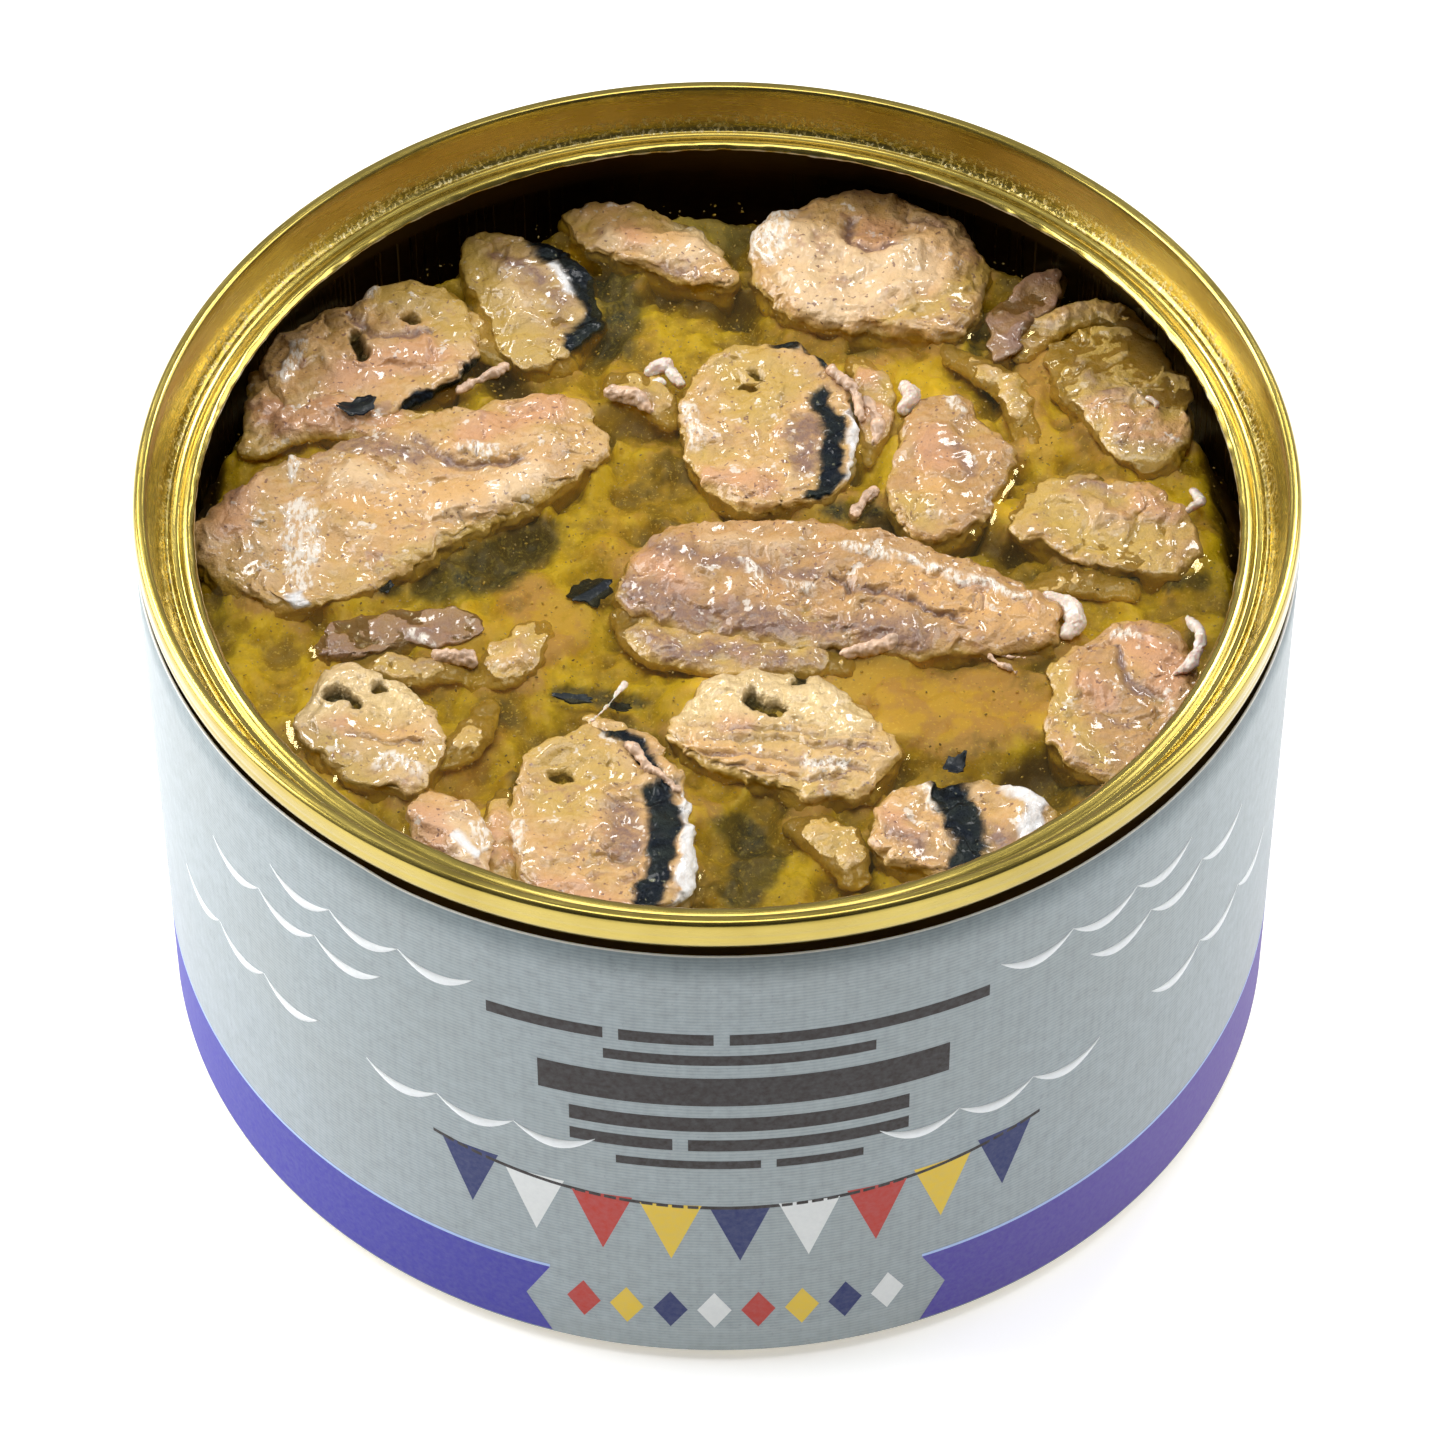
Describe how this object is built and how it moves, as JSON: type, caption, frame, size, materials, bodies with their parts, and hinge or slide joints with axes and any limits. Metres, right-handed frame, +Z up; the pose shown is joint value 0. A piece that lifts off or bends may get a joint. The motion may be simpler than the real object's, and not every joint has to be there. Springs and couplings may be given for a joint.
{
  "type": "sardine tin",
  "caption": "Opened round fish tin: straight can with a paper sleeve, the cut end ring round its mouth, and pieces of sardine standing in golden oil",
  "frame": {"origin": "middle of the tin's base, on the floor", "axes": "+Z is up along the tin's axis, -Y is the front that faces the viewer, +X is to the viewer's right"},
  "size_m": [0.087, 0.087, 0.0515],
  "materials": {
    "gold_lacquer": "tinplate under a clear gold lacquer, glossy, scratched where the opener ran",
    "label_paper": "pale blue-grey printed paper with a fine linen grain, satin",
    "fish_oil": "clear golden-olive oil, liquid gloss",
    "flesh": "cooked fish flesh, moist, pale peach with craggy flakes",
    "skin": "blue-black back skin with a silver sheen, moist",
    "sunk": "flesh soaked and tinted by the oil, wet",
    "dark": "brown-purple dark muscle, moist",
    "silver": "silver-white belly skin over flesh, wet sheen"
  },
  "bodies": {
    "root": {"can_body": "gold_lacquer", "end_ring": "gold_lacquer", "label": "label_paper", "oil": "fish_oil", "steak_back": "flesh", "flake_back": "flesh", "steak_half_sunk": "skin", "steak_left": "flesh", "fillet_left": "flesh", "steak_middle": "flesh", "steak_oval": "flesh", "steak_right": "flesh", "flesh_right_back": "sunk", "fin_scrap": "dark", "steak_lower_right": "flesh", "fillet_middle": "flesh", "fillet_silver": "silver", "steak_front": "flesh", "knob_front_left": "flesh", "fillet_silver_left": "silver", "strip_left": "dark", "chunk_front_right": "flesh"}
  },
  "joints": []
}
